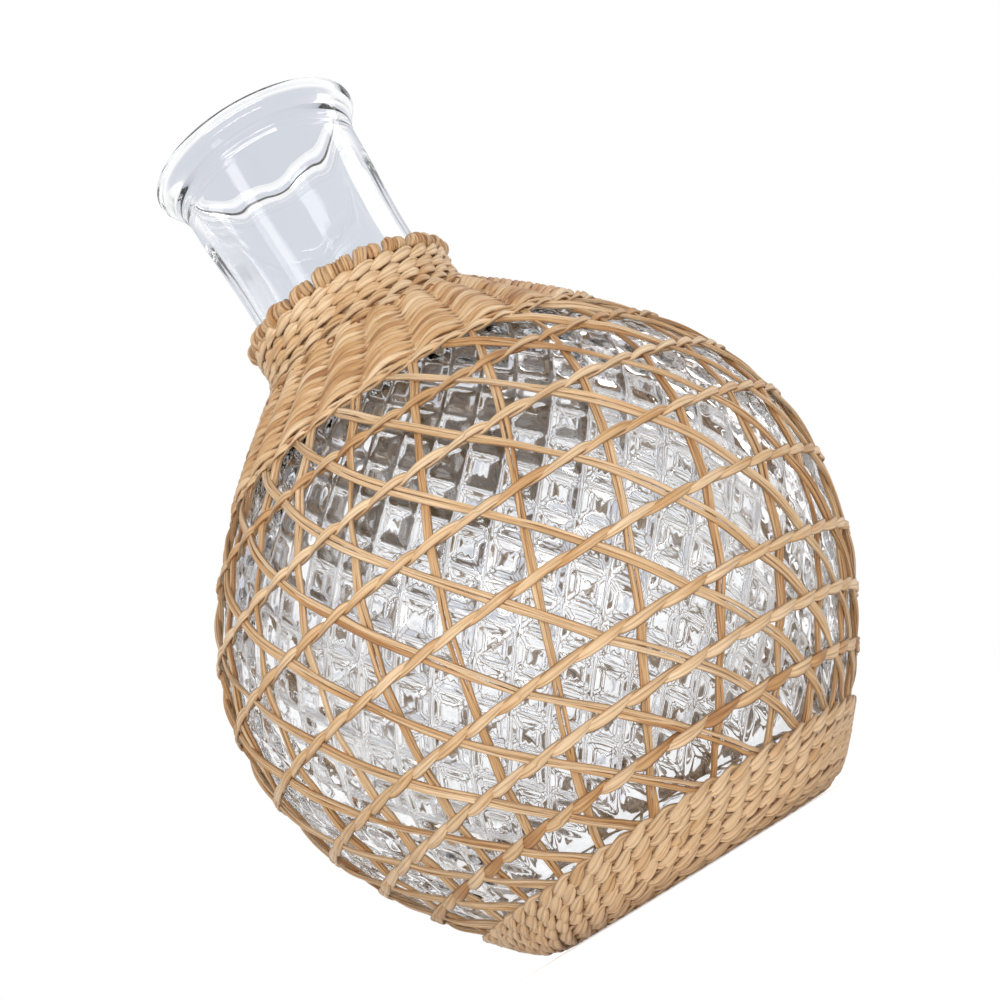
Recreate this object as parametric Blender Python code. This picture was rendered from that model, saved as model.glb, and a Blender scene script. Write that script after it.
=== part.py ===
"""A clear pressed-glass flower vase in a hand-woven open net of split rattan.

The bottle stands on a woven mat. Slanting stakes climb its belly in two sets that cross, A over B.
Seven twined rows hold them, a close-woven base band and shoulder close the net at both ends, and a
collar grips the neck. Metres, +Z up, the origin under the middle of the mat. Azimuth 0 is the
front, which faces -Y, and azimuth grows towards +X.
"""

import math

import bmesh
import bpy
from mathutils import Vector

MM = 0.001

CLEAR = 0.3 * MM
ROUND = 2 * math.pi

# The mat under the bottle.
MAT_THICKNESS = 2.5 * MM
MAT_INSET = 1.6 * MM
MAT_ROWS = 3
MAT_GROOVE = 0.5 * MM
GLASS_FOOT = MAT_THICKNESS + CLEAR

# The bottle's outer form. The belly is a parabola of radius over height, in an upper and a lower half.
# The lower half runs down to the base radius at the glass's foot, where the heel rounds it off.
BELLY_RADIUS = 84.9 * MM
BELLY_HEIGHT = 84 * MM
UPPER_REACH = 102 * MM
BASE_RADIUS = 42.6 * MM
HEEL_RUN = 4.6 * MM
HEEL_RISE = 6.5 * MM
NECK_RADIUS = 25.6 * MM
NECK_FILLET = 7.5 * MM
NECK_TAPER = 1.4 * MM
NECK_LENGTH = 70.75 * MM
FLARE_DEPTH = 14 * MM
LIP_REACH = 4.5 * MM
LIP_ROLL = 3.1 * MM

# What follows from them. The neck's foot is where the belly's parabola would meet the neck's cylinder.
LOWER_REACH = (BELLY_HEIGHT - GLASS_FOOT) / math.sqrt(1 - BASE_RADIUS / BELLY_RADIUS)
FOOT_RADIUS = BASE_RADIUS - HEEL_RUN
MAT_RADIUS = BASE_RADIUS - MAT_INSET
NECK_FOOT = BELLY_HEIGHT + UPPER_REACH * math.sqrt(1 - NECK_RADIUS / BELLY_RADIUS)
NECK_TOP_RADIUS = NECK_RADIUS + NECK_TAPER
LIP_RADIUS = NECK_TOP_RADIUS + LIP_REACH
MOUTH_HEIGHT = NECK_FOOT + NECK_LENGTH
FLARE_HEIGHT = MOUTH_HEIGHT - FLARE_DEPTH

# The flats round the neck, which end in arches under the flare.
NECK_PANELS = 10
PANEL_DEPTH = 0.8 * MM
PANEL_TOP_DEPTH = 24 * MM
PANEL_ARCH = 4 * MM
PANEL_TURN = math.radians(2)

# The glass wall and the diamond relief pressed into the belly.
NECK_WALL = 3.1 * MM
BELLY_WALL = 4.4 * MM
FLOOR_THICKNESS = 6 * MM
DIAMOND_COUNT = 42
DIAMOND_HEIGHT = 15 * MM
DIAMOND_DEPTH = 1.2 * MM
PLAIN_SHOULDER = 23.25 * MM

# The close-woven ends of the net. The shoulder weave and the collar start below the neck's foot.
BAND_FOOT = 4.5 * MM
BAND_TOP = 16.8 * MM
BAND_ROWS = 5
BAND_THICKNESS = 3.2 * MM
SHOULDER_DEPTH = 28.25 * MM
SHOULDER_FOOT = NECK_FOOT - SHOULDER_DEPTH
SHOULDER_THICKNESS = 2.8 * MM
SHOULDER_SWELL = 1.1 * MM
SHOULDER_HOLLOW = 1.2 * MM
RIB_TURN = math.radians(9)
COLLAR_DEPTH = 3.75 * MM
COLLAR_FOOT = NECK_FOOT - COLLAR_DEPTH
COLLAR_ROWS = 5
COLLAR_ROW_RISE = 3.8 * MM
COLLAR_THICKNESS = 5.2 * MM
RIM_LOOPS = 16
RIM_RISE = 1.6 * MM
RIDGE_DEPTH = 0.8 * MM

# The relief starts just above the base band, and leaves the shoulder plain.
BAND_TO_DIAMONDS = 4.2 * MM
DIAMONDS_FROM = BAND_TOP + BAND_TO_DIAMONDS
DIAMONDS_TO = NECK_FOOT - PLAIN_SHOULDER

# The net. Every height is the height of the glass under the strand, and each row's place is a share
# of the way from the belly's widest level to the shoulder weave, or from the base band to that level.
STAKES = 24
STAKE_WIDTH = 2.8 * MM
STAKE_THICKNESS = 0.8 * MM
A_LIFT = 0.45 * MM
B_LIFT = 0.9 * MM
A_STEP = math.radians(10.5)
B_STEP = math.radians(4.5)
A_TO_B = math.radians(6.2)
ROWS_ABOVE = (0.763, 0.456, 0.149)
ROWS_BELOW = (0.836, 0.548, 0.342, 0.155)
ROW_WIDTH = 2.8 * MM
ROW_THICKNESS = 0.8 * MM
ROW_DIP = 0.9 * MM
ROW_LEAN = math.radians(2.3)
LEAN_TOWARDS = math.radians(45)


def clear_scene():
    for thing in list(bpy.data.objects):
        bpy.data.objects.remove(thing, do_unlink=True)


def material(name, colour, roughness, transmission=0.0):
    made = bpy.data.materials.new(name)
    made.use_nodes = True
    shader = made.node_tree.nodes["Principled BSDF"]
    shader.inputs["Base Color"].default_value = (*colour, 1)
    shader.inputs["Roughness"].default_value = roughness
    shader.inputs["Transmission Weight"].default_value = transmission
    made.diffuse_color = (*colour, 1)
    return made


# The belly's surface


def belly_radius(height):
    reach = UPPER_REACH if height > BELLY_HEIGHT else LOWER_REACH
    return BELLY_RADIUS * (1 - ((height - BELLY_HEIGHT) / reach) ** 2)


def belly_slope(height):
    """How fast the radius grows with height."""
    reach = UPPER_REACH if height > BELLY_HEIGHT else LOWER_REACH
    return -2 * BELLY_RADIUS * (height - BELLY_HEIGHT) / reach**2


def at_azimuth(radius, azimuth, height):
    return Vector((radius * math.sin(azimuth), -radius * math.cos(azimuth), height))


def belly_section(height, lift):
    """Radius and height of the point that stands off the glass by lift."""
    slope = belly_slope(height)
    length = math.hypot(1, slope)
    return belly_radius(height) + lift / length, height - lift * slope / length


def belly_point(azimuth, height, lift):
    radius, level = belly_section(height, lift)
    return at_azimuth(radius, azimuth, level)


def belly_normal(azimuth, height):
    return at_azimuth(1, azimuth, -belly_slope(height)).normalized()


def lift_of(point):
    """How far a point stands off the glass."""
    gap = math.hypot(point.x, point.y) - belly_radius(point.z)
    return gap / math.hypot(1, belly_slope(point.z))


# Mesh building


def add_ring(bm, count, section):
    """Vertices round the axis. section gives radius and height at an azimuth."""
    ring = []
    for i in range(count):
        azimuth = ROUND * i / count
        radius, height = section(azimuth)
        ring.append(bm.verts.new(at_azimuth(radius, azimuth, height)))
    return ring


def bridge(bm, first, second):
    """Triangles between two rings, which may differ in their number of vertices."""
    i = j = 0
    while i < len(first) or j < len(second):
        a = first[i % len(first)]
        b = second[j % len(second)]
        if (i + 1) * len(second) <= (j + 1) * len(first):
            i += 1
            bm.faces.new((a, b, first[i % len(first)]))
        else:
            j += 1
            bm.faces.new((a, b, second[j % len(second)]))


def cap(bm, ring, height):
    middle = bm.verts.new((0, 0, height))
    for here, after in zip(ring, ring[1:] + ring[:1]):
        bm.faces.new((here, after, middle))


def finish(bm, name, finish_material, sharp=40):
    bmesh.ops.recalc_face_normals(bm, faces=bm.faces)
    mesh = bpy.data.meshes.new(name)
    bm.to_mesh(mesh)
    bm.free()
    mesh.shade_smooth()
    mesh.set_sharp_from_angle(angle=math.radians(sharp))
    mesh.materials.append(finish_material)
    made = bpy.data.objects.new(name, mesh)
    bpy.context.scene.collection.objects.link(made)
    return made


def between(start, end, share):
    return start + (end - start) * share


def bend(start, corner, end, steps):
    """Points of a quadratic curve from start to end that leaves and arrives towards corner."""
    points = []
    for i in range(steps + 1):
        t = i / steps
        first = [between(a, b, t) for a, b in zip(start, corner)]
        second = [between(a, b, t) for a, b in zip(corner, end)]
        points.append(tuple(between(a, b, t) for a, b in zip(first, second)))
    return points


# The bottle


def diamond_heights():
    """Heights at which the diamonds' corners lie, a half diamond apart along the wall."""
    heights = [DIAMONDS_FROM]
    while heights[-1] < DIAMONDS_TO:
        low = heights[-1]
        middle = low + DIAMOND_HEIGHT / 4 / math.hypot(1, belly_slope(low))
        heights.append(low + DIAMOND_HEIGHT / 2 / math.hypot(1, belly_slope(middle)))
    return heights


def add_diamonds(bm):
    """Rows of raised points and sunk corners in turn. Returns the lowest and the highest ring."""
    count = 2 * DIAMOND_COUNT
    rings = []
    heights = diamond_heights()
    for row, height in enumerate(heights):
        at_edge = row in (0, len(heights) - 1)
        ring = []
        for i in range(count):
            sunk = at_edge or (i + row) % 2 == 0
            lift = -DIAMOND_DEPTH if sunk else 0
            ring.append(bm.verts.new(belly_point(ROUND * i / count, height, lift)))
        rings.append(ring)
    for row in range(len(rings) - 1):
        low, high = rings[row], rings[row + 1]
        for i in range(count):
            j = (i + 1) % count
            if (i + row) % 2 == 0:
                bm.faces.new((low[i], low[j], high[j]))
                bm.faces.new((low[i], high[j], high[i]))
            else:
                bm.faces.new((low[i], low[j], high[i]))
                bm.faces.new((low[j], high[j], high[i]))
    return rings[0], rings[-1]


def neck_outline():
    """Neck radii from the end of the shoulder's fillet up to the lip, before the flats are cut."""
    start = NECK_FOOT + NECK_FILLET
    flat_top = between(start, FLARE_HEIGHT, 0.75)
    lip_foot = MOUTH_HEIGHT - 2 * LIP_ROLL
    flare = bend(
        (NECK_TOP_RADIUS, FLARE_HEIGHT),
        (NECK_TOP_RADIUS, lip_foot),
        (LIP_RADIUS - LIP_ROLL, lip_foot),
        3,
    )
    return [(NECK_RADIUS, start + NECK_FILLET), (NECK_RADIUS, flat_top)] + flare


def lip_outline():
    """The rolled lip, from its underside round its outside to its top."""
    middle_radius = LIP_RADIUS - LIP_ROLL
    middle_height = MOUTH_HEIGHT - LIP_ROLL
    points = []
    for degrees in (-45, 0, 45, 90):
        turn = math.radians(degrees)
        points.append(
            (middle_radius + LIP_ROLL * math.cos(turn), middle_height + LIP_ROLL * math.sin(turn))
        )
    return points


def flat_radius(radius, height, azimuth):
    """The neck's radius with its flats cut, each ending in an arch."""
    pitch = ROUND / NECK_PANELS
    off_middle = (azimuth - PANEL_TURN + pitch / 2) % pitch - pitch / 2
    flat = (NECK_RADIUS - PANEL_DEPTH) / math.cos(off_middle)
    arch = MOUTH_HEIGHT - PANEL_TOP_DEPTH - PANEL_ARCH * (2 * off_middle / pitch) ** 2
    return min(radius, flat) if height < arch else radius


def bottle_inside():
    """The hollow's outline, from the mouth down to the floor's edge."""
    bore = NECK_RADIUS - NECK_WALL
    mouth = NECK_TOP_RADIUS - NECK_WALL
    foot = NECK_FOOT
    points = [(LIP_RADIUS - 2 * LIP_ROLL, MOUTH_HEIGHT - LIP_ROLL), (mouth, FLARE_HEIGHT)]
    points.append((bore, between(foot, FLARE_HEIGHT, 0.75)))
    top = belly_section(foot - 1.5 * NECK_FILLET, -BELLY_WALL)
    points += bend((bore, foot + NECK_FILLET), (bore, top[1] + NECK_FILLET), top, 3)
    floor = GLASS_FOOT + FLOOR_THICKNESS
    low = floor + HEEL_RISE
    for share in (0.86, 0.72, 0.58, 0.44, 0.3, 0.16, 0.06):
        points.append(belly_section(between(low, foot - 1.5 * NECK_FILLET, share), -BELLY_WALL))
    wall = belly_section(low, -BELLY_WALL)
    corner = (belly_section(floor, -BELLY_WALL)[0], floor)
    return points + bend(wall, corner, (FOOT_RADIUS - BELLY_WALL, floor), 3)


def glass_bottle():
    bm = bmesh.new()
    inner_count = 24
    outer_count = 4 * NECK_PANELS
    low, high = add_diamonds(bm)

    heel_top = belly_section(GLASS_FOOT + HEEL_RISE, 0)
    heel_corner = (belly_section(GLASS_FOOT, 0)[0], GLASS_FOOT)
    below = bend(heel_top, heel_corner, (FOOT_RADIUS, GLASS_FOOT), 3)
    step = belly_section(DIAMONDS_FROM - DIAMOND_DEPTH, 0)
    ring = low
    for radius, height in [step] + below:
        lower = add_ring(bm, outer_count, lambda azimuth: (radius, height))
        bridge(bm, ring, lower)
        ring = lower
    cap(bm, ring, GLASS_FOOT)

    foot = NECK_FOOT
    shoulder_top = belly_section(foot - NECK_FILLET, 0)
    above = [belly_section(between(DIAMONDS_TO, foot - NECK_FILLET, 0.5), 0)]
    above += bend(shoulder_top, (NECK_RADIUS, foot), (NECK_RADIUS, foot + NECK_FILLET), 3)
    ring = high
    for radius, height in above:
        upper = add_ring(bm, outer_count, lambda azimuth: (radius, height))
        bridge(bm, ring, upper)
        ring = upper
    for radius, height in neck_outline():
        upper = add_ring(
            bm, outer_count, lambda azimuth: (flat_radius(radius, height, azimuth), height)
        )
        bridge(bm, ring, upper)
        ring = upper
    for radius, height in lip_outline():
        upper = add_ring(bm, outer_count, lambda azimuth: (radius, height))
        bridge(bm, ring, upper)
        ring = upper
    for radius, height in bottle_inside():
        inner = add_ring(bm, inner_count, lambda azimuth: (radius, height))
        bridge(bm, ring, inner)
        ring = inner
    cap(bm, ring, GLASS_FOOT + FLOOR_THICKNESS)
    return finish(bm, "glass_bottle", GLASS, sharp=20)


# The net's own grid: a place is an azimuth and a number of rows down from the shoulder


ROW_HEIGHTS = [between(BELLY_HEIGHT, SHOULDER_FOOT, share) for share in ROWS_ABOVE]
ROW_HEIGHTS += [between(BAND_TOP, BELLY_HEIGHT, share) for share in ROWS_BELOW]
NET_LEVELS = [SHOULDER_FOOT] + ROW_HEIGHTS + [BAND_TOP]


def net_height(azimuth, down):
    """Height at a place in the net. The rows and the band's top lean a little, the shoulder doesn't."""
    row = min(int(down), len(NET_LEVELS) - 2)
    height = between(NET_LEVELS[row], NET_LEVELS[row + 1], down - row)
    lean = math.tan(ROW_LEAN) * min(1, down / 2)
    return height + lean * belly_radius(height) * math.cos(azimuth - LEAN_TOWARDS)


def a_azimuth(stake, down):
    return ROUND * stake / STAKES + A_STEP * down


def b_azimuth(stake, down):
    return ROUND * stake / STAKES + A_TO_B - B_STEP * down


def net_place(azimuth, down, back):
    """Point and normal of a flat strand whose back stands off the glass by back."""
    height = net_height(azimuth, down)
    return belly_point(azimuth, height, back + STAKE_THICKNESS / 2), belly_normal(azimuth, height)


def crossing_share():
    """How far down from a row A and B cross, as a share of the way to the next row."""
    return A_TO_B / (A_STEP + B_STEP)


def net_ends():
    """Where the stakes stop, so that their slanting ends just clear the shoulder and the base band."""
    last = len(ROW_HEIGHTS)
    gap = CLEAR + STAKE_WIDTH / 2
    top = gap / (NET_LEVELS[0] - NET_LEVELS[1])
    bottom = last + 1 - gap / (NET_LEVELS[last] - NET_LEVELS[last + 1])
    return top, bottom


def a_place_over_b(stake, down):
    """A's place where it rides over the B stake whose straight run passes beneath."""
    top, bottom = net_ends()
    row = math.floor(down)
    upper = max(row, top)
    lower = min(row + 1, bottom)
    azimuth = a_azimuth(stake, down)
    above = net_place(azimuth + B_STEP * (down - upper), upper, B_LIFT)[0]
    below = net_place(azimuth - B_STEP * (lower - down), lower, B_LIFT)[0]
    b_middle = lift_of(above.lerp(below, (down - upper) / (lower - upper)))
    return net_place(azimuth, down, b_middle + STAKE_THICKNESS / 2 + 1.5 * CLEAR)


def strip(name, places, width, thickness, closed=False):
    """A split strand through the places: flat where it faces the glass, crowned outside."""
    bm = bmesh.new()
    sections = []
    count = len(places)
    for i, (point, normal) in enumerate(places):
        before = places[(i - 1) % count][0] if closed or i else point
        after = places[(i + 1) % count][0] if closed or i < count - 1 else point
        across = (after - before).cross(normal).normalized() * (width / 2)
        out = normal * (thickness / 2)
        corners = (point - across - out, point + across - out, point + out)
        sections.append([bm.verts.new(corner) for corner in corners])
    pairs = list(zip(sections, sections[1:]))
    if closed:
        pairs.append((sections[-1], sections[0]))
    else:
        bm.faces.new(sections[0])
        bm.faces.new(sections[-1])
    for here, after in pairs:
        for i in range(len(here)):
            j = (i + 1) % len(here)
            bm.faces.new((here[i], here[j], after[j], after[i]))
    return finish(bm, name, RATTAN, sharp=80)


def stakes():
    """Both sets of slanting stakes. B lies next to the glass, and A rides over it at each crossing."""
    top, bottom = net_ends()
    rows = list(range(1, len(ROW_HEIGHTS) + 1))
    crossings = [row + crossing_share() for row in range(len(ROW_HEIGHTS) + 1)]
    for stake in range(STAKES):
        b_places = []
        for down in [top] + rows + [bottom]:
            b_places.append(net_place(b_azimuth(stake, down), down, B_LIFT))
        strip(f"stake_b_{stake + 1:02d}", b_places, STAKE_WIDTH, STAKE_THICKNESS)
        a_places = []
        for down in sorted([top] + rows + crossings + [bottom]):
            if down in rows:
                a_places.append(net_place(a_azimuth(stake, down), down, A_LIFT))
            else:
                a_places.append(a_place_over_b(stake, down))
        strip(f"stake_a_{stake + 1:02d}", a_places, STAKE_WIDTH, STAKE_THICKNESS)


def twined_rows():
    """Rows over both sets of stakes. Each dips towards the glass after an A stake and its B stake."""
    over = B_LIFT + STAKE_THICKNESS + CLEAR
    gap_middle = (A_TO_B + ROUND / STAKES) / 2
    for row in range(1, len(ROW_HEIGHTS) + 1):
        places = []
        for stake in range(STAKES):
            first = a_azimuth(stake, row)
            for azimuth, back in ((first, over), (first + A_TO_B, over), (first + gap_middle, over - ROW_DIP)):
                height = net_height(azimuth, row)
                point = belly_point(azimuth, height, back + ROW_THICKNESS / 2)
                places.append((point, belly_normal(azimuth, height)))
        strip(f"twined_row_{row}", places, ROW_WIDTH, ROW_THICKNESS, closed=True)


# The close-woven ends


def woven_ring(name, count, section):
    """A closed ring. section gives the points round its section at an azimuth."""
    bm = bmesh.new()
    sections = []
    for i in range(count):
        sections.append([bm.verts.new(point) for point in section(ROUND * i / count)])
    rings = [list(ring) for ring in zip(*sections)]
    for here, after in zip(rings, rings[1:] + rings[:1]):
        bridge(bm, here, after)
    return finish(bm, name, RATTAN, sharp=50)


def base_band():
    """Dense twined rows from the mat's edge up the foot of the bottle, one ridge to each row."""
    low = GLASS_FOOT + HEEL_RISE

    def section(azimuth):
        top = net_height(azimuth, len(NET_LEVELS) - 1)
        outer = [at_azimuth(MAT_RADIUS + 2 * CLEAR, azimuth, CLEAR)]
        for row in range(BAND_ROWS):
            middle = between(BAND_FOOT, top, (row + 0.5) / BAND_ROWS)
            outer.append(belly_point(azimuth, middle, BAND_THICKNESS))
            if row < BAND_ROWS - 1:
                end = between(BAND_FOOT, top, (row + 1) / BAND_ROWS)
                outer.append(belly_point(azimuth, end, BAND_THICKNESS - RIDGE_DEPTH))
        outer.append(belly_point(azimuth, top, BAND_THICKNESS / 2))
        inner = [belly_point(azimuth, height, 2 * CLEAR) for height in (top, low, GLASS_FOOT)]
        return outer + inner + [at_azimuth(MAT_RADIUS + CLEAR, azimuth, MAT_THICKNESS)]

    return woven_ring("base_band", 36, section)


def shoulder_weave():
    """The close weave over the bottle's shoulder. Its ribs turn as they climb, and swell to the top."""
    top = COLLAR_FOOT - CLEAR

    def place(azimuth, share, lift):
        return belly_point(azimuth + RIB_TURN * share, between(SHOULDER_FOOT, top, share), lift)

    def section(azimuth):
        hollow = SHOULDER_HOLLOW * (0.5 - 0.5 * math.cos(STAKES * azimuth))
        outer = []
        for share in (0, 0.25, 0.5, 0.75, 1):
            outer.append(place(azimuth, share, SHOULDER_THICKNESS + SHOULDER_SWELL * share**2 - hollow))
        return outer + [place(azimuth, share, 2 * CLEAR) for share in (1, 0.5, 0)]

    return woven_ring("shoulder_weave", 2 * STAKES, section)


def collar():
    """Thick twined rows that grip the neck, under a rim of looped strands."""
    neck = NECK_RADIUS + 2 * CLEAR
    edge = SHOULDER_THICKNESS + SHOULDER_SWELL - SHOULDER_HOLLOW / 2
    bottom = belly_section(COLLAR_FOOT, edge)[1]
    outside = NECK_RADIUS + COLLAR_THICKNESS
    top = bottom + COLLAR_ROWS * COLLAR_ROW_RISE

    def section(azimuth):
        outer = [belly_point(azimuth, COLLAR_FOOT, edge)]
        for row in range(COLLAR_ROWS):
            height = bottom + COLLAR_ROW_RISE * row
            if row:
                outer.append(at_azimuth(outside - RIDGE_DEPTH, azimuth, height))
            outer.append(at_azimuth(outside, azimuth, height + COLLAR_ROW_RISE / 2))
        loop = RIM_RISE / 2 * math.cos(RIM_LOOPS * azimuth)
        outer.append(at_azimuth(outside - COLLAR_THICKNESS / 3, azimuth, top + loop))
        inner = [at_azimuth(neck, azimuth, height) for height in (top - RIM_RISE, NECK_FOOT + NECK_FILLET)]
        return outer + inner + [belly_point(azimuth, COLLAR_FOOT, 2 * CLEAR)]

    return woven_ring("collar", 2 * RIM_LOOPS, section)


def base_mat():
    """The round woven mat, flat below, with a shallow groove between its rows above."""
    bm = bmesh.new()
    count = 24
    pitch = MAT_RADIUS / MAT_ROWS
    outline = [(MAT_RADIUS - MAT_THICKNESS / 2, 0), (MAT_RADIUS, MAT_THICKNESS / 2)]
    for row in range(MAT_ROWS, 0, -1):
        outline.append((pitch * (row - 0.3), MAT_THICKNESS))
        if row > 1:
            outline.append((pitch * (row - 1), MAT_THICKNESS - MAT_GROOVE))
    ring = add_ring(bm, count, lambda azimuth: outline[0])
    cap(bm, ring, 0)
    for point in outline[1:]:
        after = add_ring(bm, count, lambda azimuth: point)
        bridge(bm, ring, after)
        ring = after
    cap(bm, ring, MAT_THICKNESS)
    return finish(bm, "base_mat", RATTAN)


clear_scene()
GLASS = material("clear_glass", (0.86, 0.9, 0.93), 0.03, transmission=1)
RATTAN = material("split_rattan", (0.62, 0.4, 0.17), 0.55)
base_mat()
glass_bottle()
stakes()
twined_rows()
base_band()
shoulder_weave()
collar()
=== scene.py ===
# %% [markdown]
# A clear pressed-glass vase stands in an open net that is woven round it from split rattan. The packed
# CAD model gives every piece its size and place. The CAD's own plain strips could be shown, but a
# hand-woven net is thousands of small overlaps, so here each strand is swept as a mesh of its own.

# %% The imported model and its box
import math

import bpy
import numpy as np
from mathutils import Matrix, Vector


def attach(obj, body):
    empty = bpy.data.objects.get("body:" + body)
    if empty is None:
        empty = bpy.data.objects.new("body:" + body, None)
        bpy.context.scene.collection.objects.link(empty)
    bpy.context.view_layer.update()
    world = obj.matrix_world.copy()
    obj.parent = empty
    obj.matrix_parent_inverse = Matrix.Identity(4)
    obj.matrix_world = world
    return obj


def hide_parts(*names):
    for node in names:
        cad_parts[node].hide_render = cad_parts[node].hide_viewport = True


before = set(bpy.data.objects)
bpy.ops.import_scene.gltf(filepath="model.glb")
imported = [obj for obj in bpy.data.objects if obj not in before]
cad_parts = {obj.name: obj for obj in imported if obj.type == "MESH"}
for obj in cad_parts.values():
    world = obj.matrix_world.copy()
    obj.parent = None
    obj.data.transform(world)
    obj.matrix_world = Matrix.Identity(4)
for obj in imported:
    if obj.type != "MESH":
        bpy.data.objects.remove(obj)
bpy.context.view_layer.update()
MM = 0.001
ROUND = 2 * math.pi
print("packed nodes:", len(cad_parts))

# %% [markdown]
# The camera looks up a little from near the floor and is rolled, so the neck leans to the upper left.
# A Track To constraint could aim it, but can't hold a roll that was measured, so the camera's three
# axes are worked out and written into its matrix.

# %% Camera
CAMERA_PLACE = Vector((0, -523.6, 3.76)) * MM
CAMERA_YAW = math.radians(0.785)
CAMERA_PITCH = math.radians(11.746)
CAMERA_ROLL = math.radians(31.66)
LENS_LENGTH = 70.2
NEAREST_SEEN = 10 * MM


def new_object(name, data):
    thing = bpy.data.objects.new(name, data)
    bpy.context.scene.collection.objects.link(thing)
    return thing


def rolled_camera():
    level = math.cos(CAMERA_PITCH)
    ahead = Vector((math.sin(CAMERA_YAW) * level, math.cos(CAMERA_YAW) * level, math.sin(CAMERA_PITCH)))
    right = Vector((math.cos(CAMERA_YAW), -math.sin(CAMERA_YAW), 0))
    up = right.cross(ahead)
    side = right * math.cos(CAMERA_ROLL) - up * math.sin(CAMERA_ROLL)
    above = right * math.sin(CAMERA_ROLL) + up * math.cos(CAMERA_ROLL)
    data = bpy.data.cameras.new("camera")
    data.lens = LENS_LENGTH
    data.clip_start = NEAREST_SEEN
    camera = new_object("camera", data)
    turn = Matrix((side, above, -ahead)).transposed().to_4x4()
    camera.matrix_world = Matrix.Translation(CAMERA_PLACE) @ turn
    bpy.context.scene.camera = camera
    return camera


print("camera at", rolled_camera().location[:])

# %% [markdown]
# Shader maths reads best as Python. A small class holds a node's output, and its operators add Math
# nodes, so 1 - mask works on a mask that varies over the surface. Another class holds a material and
# adds every other kind of node. The same could be clicked together by hand, but then it can't be read.

# %% Shader maths
WHITE = (1, 1, 1, 1)
BLACK = (0, 0, 0, 1)


class Signal:
    """The output of a shader node, which Python's operators work on."""

    def __init__(self, finish, socket):
        self.finish = finish
        self.socket = socket

    def maths(self, operation, first, second):
        return self.finish.node("ShaderNodeMath", {"operation": operation}, {0: first, 1: second})

    def larger(self, other):
        return self.maths("MAXIMUM", self, other)

    def __add__(self, other):
        return self.maths("ADD", self, other)

    def __sub__(self, other):
        return self.maths("SUBTRACT", self, other)

    def __rsub__(self, other):
        return self.maths("SUBTRACT", other, self)

    def __mul__(self, other):
        return self.maths("MULTIPLY", self, other)

    __radd__ = __add__
    __rmul__ = __mul__


class Finish:
    """A node tree with a shader in it, and short ways to add nodes."""

    def __init__(self, tree):
        self.tree = tree

    def put(self, target, value):
        if isinstance(value, Signal):
            self.tree.links.new(value.socket, target)
        else:
            target.default_value = value

    def node(self, kind, settings=None, values=None, output=0):
        made = self.tree.nodes.new(kind)
        for name, setting in (settings or {}).items():
            if name == "stops":
                set_stops(made.color_ramp, setting)
            else:
                setattr(made, name, setting)
        for name, value in (values or {}).items():
            self.put(made.inputs[name], value)
        return Signal(self, made.outputs[output])

    def mix(self, share, first, second):
        return self.node("ShaderNodeMix", {"data_type": "RGBA"}, {0: share, 6: first, 7: second}, 2)

    def ramp(self, value, stops):
        return self.node("ShaderNodeValToRGB", {"stops": stops}, {0: value})

    def stretched(self, vector, factors):
        return self.node("ShaderNodeVectorMath", {"operation": "MULTIPLY"}, {0: vector, 1: factors})

    def noise(self, vector, scale, detail=2, roughness=0.5):
        values = {"Vector": vector, "Scale": scale, "Detail": detail, "Roughness": roughness}
        return self.node("ShaderNodeTexNoise", {}, values)


def set_stops(ramp, stops):
    while len(ramp.elements) < len(stops):
        ramp.elements.new(0.5)
    for element, (place, colour) in zip(ramp.elements, stops):
        element.position = place
        element.color = colour


def paint(red, green, blue):
    """A colour as it looks on a screen, 0 to 255, as the linear colour that a shader takes."""
    parts = []
    for part in (red, green, blue):
        share = part / 255
        parts.append(share / 12.92 if share <= 0.04045 else ((share + 0.055) / 1.055) ** 2.4)
    return (*parts, 1)


def new_material(name, roughness, **constants):
    material = bpy.data.materials.new(name)
    material.use_nodes = True
    shader = material.node_tree.nodes["Principled BSDF"]
    shader.inputs["Roughness"].default_value = roughness
    for socket, value in constants.items():
        shader.inputs[socket.replace("_", " ")].default_value = value
    return material, Finish(material.node_tree), shader.inputs


print("straw as linear colour:", paint(226, 188, 142))

# %% [markdown]
# The vase stands on a white floor in a white room. The background is white for the camera, and glass
# has to see it white too, so Light Path picks those rays out, and the light that falls on the vase is
# set apart from it. The room that glass sees has soft grey patches, as between the lamps of a studio,
# because clear glass in an even white room has no shape. Behind and above the vase it is one calm cool
# grey, which the bare neck shows. A grey board could hang there, but it would shade the floor too.

# %% Room and floor
ROOM_LIGHT = 0.45
FLOOR_SIZE = 3.0
FLOOR_PAPER = (0.9, 0.9, 0.9, 1)
FLOOR_ROUGHNESS = 0.9
# How much the floor glows for the camera, and for glass
FLOOR_GLOW = 0.62
GLASS_FLOOR_GLOW = 0.46
PATCH_SCALE = 1.7
PATCHES = [(0.3, (0.62, 0.61, 0.62, 1)), (0.4, (0.93, 0.92, 0.92, 1)), (0.47, WHITE)]
CALM_GREY = (0.64, 0.665, 0.73, 1)
CALM_RISE = math.radians(52)
CALM_MIDDLE = (0, math.cos(CALM_RISE), math.sin(CALM_RISE))
# Cosines of the angles from its middle at which the grey begins and is full
CALM_EDGES = [(0.74, BLACK), (0.84, WHITE)]


def seen_directly(finish):
    """1 for rays of the camera, and 1 for rays of a reflection or through glass."""
    path = finish.node("ShaderNodeLightPath")
    outputs = path.socket.node.outputs
    names = ("Is Camera Ray", "Is Glossy Ray", "Is Transmission Ray")
    camera, glossy, through = [Signal(finish, outputs[name]) for name in names]
    return camera, glossy.larger(through)


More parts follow.
